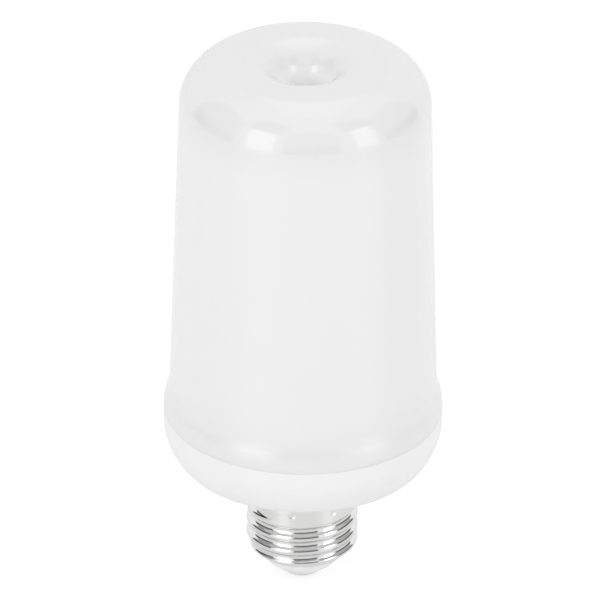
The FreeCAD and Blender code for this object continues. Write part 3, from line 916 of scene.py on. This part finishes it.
def upright_softbox(name, box, brightness):
    """Softbox that stands beside the bulb and faces its axis."""
    azimuth, width, share = box
    middle = AXIS * BOX_MIDDLE
    place = direction(azimuth, 0) * BOX_DISTANCE + middle
    return softbox(name, width, BOX_HEIGHT, place, middle, brightness * share)


def hang_card(azimuth, spread, foot, top, upper):
    """Card that only the gloss sees, and that neither shades nor lights anything."""
    middle = AXIS * ((foot + top) / 2)
    place = direction(azimuth, 0) * CARD_DISTANCE + middle
    width = 2 * CARD_DISTANCE * math.tan(math.radians(spread / 2))
    piece = stage_plane("dark_card", width, top - foot, facing(place, middle), card_finish(upper))
    piece.visible_camera = False
    piece.visible_diffuse = False
    piece.visible_shadow = False


def room_light(strength):
    """Even light on the bulb; white where the camera, metal or glass look past it."""
    world = bpy.data.worlds.new("Studio Room")
    world.use_nodes = True
    tree = world.node_tree
    back = tree.nodes["Background"]
    back.inputs["Color"].default_value = grey(1.0)
    path = tree.nodes.new("ShaderNodeLightPath")
    seen = math_node(tree, "MAXIMUM", path.outputs["Is Camera Ray"], path.outputs["Is Glossy Ray"])
    seen = math_node(tree, "MAXIMUM", seen, path.outputs["Is Transmission Ray"])
    level = tree.nodes.new("ShaderNodeMapRange")
    level.inputs["To Min"].default_value = strength
    level.inputs["To Max"].default_value = 1.0
    tree.links.new(seen, level.inputs["Value"])
    tree.links.new(level.outputs["Result"], back.inputs["Strength"])
    bpy.context.scene.world = world


class BULB_OT_stage(bpy.types.Operator):
    """Set up the floor, the soft light and the camera"""

    bl_idname = "bulb.stage"
    bl_label = "Stage"

    def execute(self, context):
        settings = context.scene.bulb_stage
        self.make_camera(context.scene, settings)
        stage_plane("studio_floor", FLOOR_WIDTH, FLOOR_WIDTH, Matrix.Identity(4), floor_finish())
        room_light(settings.room_light)
        brightness = settings.box_light
        upright_softbox("left_softbox", LEFT_BOX, brightness)
        upright_softbox("right_softbox", RIGHT_BOX, brightness)
        softbox(
            "overhead_softbox", OVERHEAD_WIDTH, OVERHEAD_DEPTH, OVERHEAD_PLACE,
            OVERHEAD_PLACE - AXIS, brightness * OVERHEAD_SHARE,
        )
        fill = upright_softbox("fill_light", FILL_BOX, brightness)
        fill.visible_glossy = False
        for card in CARDS:
            hang_card(*card)
        return {"FINISHED"}

    def make_camera(self, scene, settings):
        """Puts the aimed point of the axis on its pixel, with the lens that gives the scale."""
        data = bpy.data.cameras.new("studio_camera")
        data.sensor_width = SENSOR_WIDTH
        focal_pixels = settings.pixels_per_metre * settings.distance
        data.lens = focal_pixels * data.sensor_width / settings.frame_pixels
        half = settings.frame_pixels / 2
        data.shift_x = -(settings.aim_x - half) / settings.frame_pixels
        data.shift_y = (settings.aim_y - half) / settings.frame_pixels
        data.clip_start = NEAREST
        data.clip_end = FARTHEST
        camera = bpy.data.objects.new("studio_camera", data)
        target = AXIS * settings.aim_height
        back = direction(math.degrees(settings.azimuth), math.degrees(settings.elevation))
        camera.matrix_world = facing(target + back * settings.distance, target, settings.roll)
        scene.collection.objects.link(camera)
        scene.camera = camera
        scene.view_settings.view_transform = "Standard"


class BULB_PT_pieces(bpy.types.Panel):
    """Lists the bulb's pieces and its stage"""

    bl_label = "Drum Light Bulb"
    bl_idname = "BULB_PT_pieces"
    bl_space_type = "VIEW_3D"
    bl_region_type = "UI"
    bl_category = "Bulb"

    def draw(self, context):
        column = self.layout.column()
        for operator in OPERATORS:
            column.operator(operator.bl_idname)


OPERATORS = (
    BULB_OT_cover,
    BULB_OT_housing,
    BULB_OT_screw_shell,
    BULB_OT_cap_end,
    BULB_OT_inner_parts,
    BULB_OT_stage,
)
SETTINGS = {
    "bulb_cover": BulbCoverSizes,
    "bulb_housing": BulbHousingSizes,
    "bulb_cap": BulbCapSizes,
    "bulb_colours": BulbColours,
    "bulb_stage": BulbStageSettings,
}


def register():
    for name, group in SETTINGS.items():
        bpy.utils.register_class(group)
        setattr(bpy.types.Scene, name, PointerProperty(type=group))
    for operator in OPERATORS:
        bpy.utils.register_class(operator)
    bpy.utils.register_class(BULB_PT_pieces)


def unregister():
    bpy.utils.unregister_class(BULB_PT_pieces)
    for operator in reversed(OPERATORS):
        bpy.utils.unregister_class(operator)
    for name, group in SETTINGS.items():
        delattr(bpy.types.Scene, name)
        bpy.utils.unregister_class(group)


def main():
    register()
    bpy.ops.bulb.cover()
    bpy.ops.bulb.housing()
    bpy.ops.bulb.screw_shell()
    bpy.ops.bulb.cap_end()
    bpy.ops.bulb.inner_parts()
    bpy.ops.bulb.stage()


if __name__ == "__main__":
    main()
